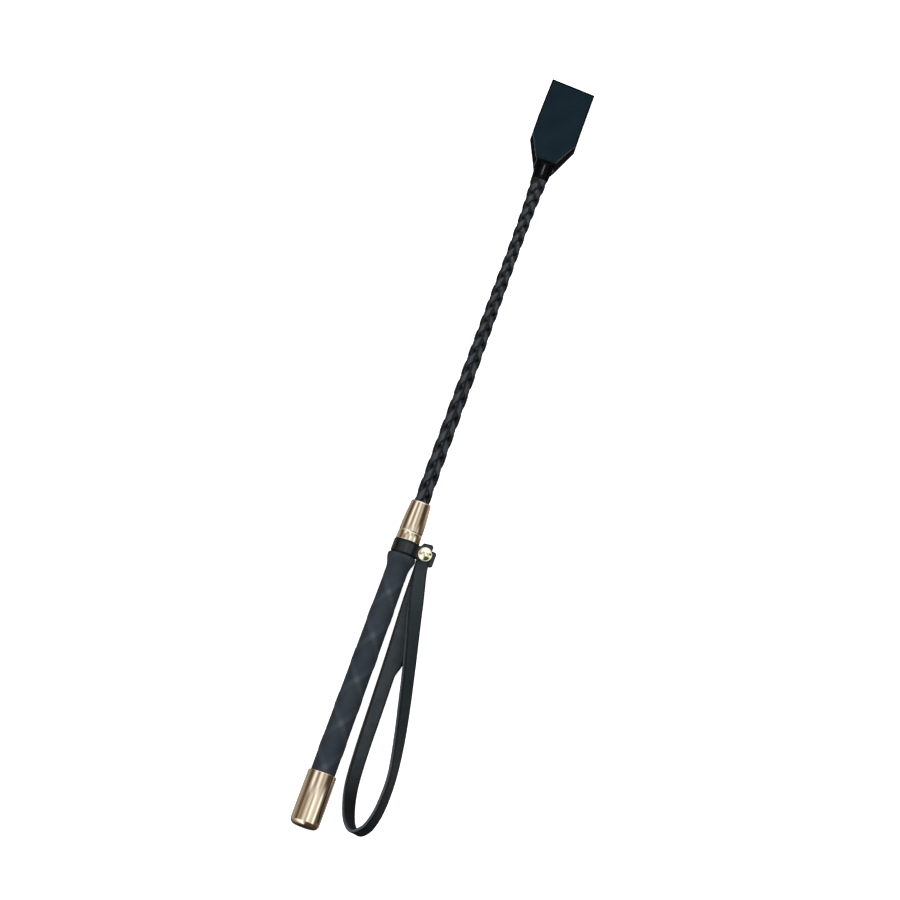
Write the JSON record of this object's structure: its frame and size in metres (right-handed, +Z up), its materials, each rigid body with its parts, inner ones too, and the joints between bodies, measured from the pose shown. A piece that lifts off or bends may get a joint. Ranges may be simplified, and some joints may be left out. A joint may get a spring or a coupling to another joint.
{
  "type": "riding crop",
  "caption": "Short riding crop: braided flexible shaft, soft handle with a swell, metal ferrule and butt cap, flat leather flapper, and a flat strap wrist loop riveted to a turning collar.",
  "frame": {"origin": "centre of the flat end of the butt cap", "axes": "+Y along the crop from the butt cap to the flapper, +Z up out of the flapper's front face, +X towards the side of the wrist loop"},
  "size_m": [0.06, 0.5, 0.019],
  "materials": {
    "fibreglass": "satin drawn rod",
    "wood": "turned, unfinished",
    "grip_rubber": "matte, soft to the touch",
    "gold_metal": "polished champagne gold",
    "rivet_metal": "polished gold",
    "black_plastic": "moulded",
    "strap_leather": "smooth, with burnished edges",
    "braid": "glossy strands",
    "padding": "cotton cord padding",
    "thread": "waxed thread",
    "glossy_wrap": "glossy",
    "flapper_leather": "matte, with black painted edges"
  },
  "bodies": {
    "stick": {"core_rod": "fibreglass", "handle_core": "wood", "grip_sleeve": "grip_rubber", "butt_cap": "gold_metal", "butt_plug": "wood", "neck_bush": "black_plastic", "ferrule": "gold_metal", "braid_binding_butt": "thread", "braided_cover": "braid", "shaft_underlay": "padding", "flapper_tongue": "flapper_leather", "tip_whipping": "thread", "neck_wrap": "glossy_wrap"},
    "collar": {"collar_strap": "strap_leather", "rivet_cap": "rivet_metal", "rivet_post": "rivet_metal"},
    "loop": {"wrist_loop": "strap_leather"},
    "flapper": {"flapper_front": "flapper_leather", "flapper_back": "flapper_leather"}
  },
  "joints": [
    {"name": "collar_swivel", "type": "hinge", "parent": "stick", "child": "collar", "pos_m": [0, 0.1878, 0], "axis": [0, 1, 0], "continuous": true},
    {"name": "loop_swing", "type": "hinge", "parent": "collar", "child": "loop", "pos_m": [0.0133, 0.188, 0], "axis": [0, 0, 1], "range_deg": [0, 120]},
    {"name": "flapper_flex", "type": "hinge", "parent": "stick", "child": "flapper", "pos_m": [0, 0.443, 0], "axis": [1, 0, 0], "range_deg": [-70, 70], "stiffness_Nm_per_rad": 0.1}
  ]
}
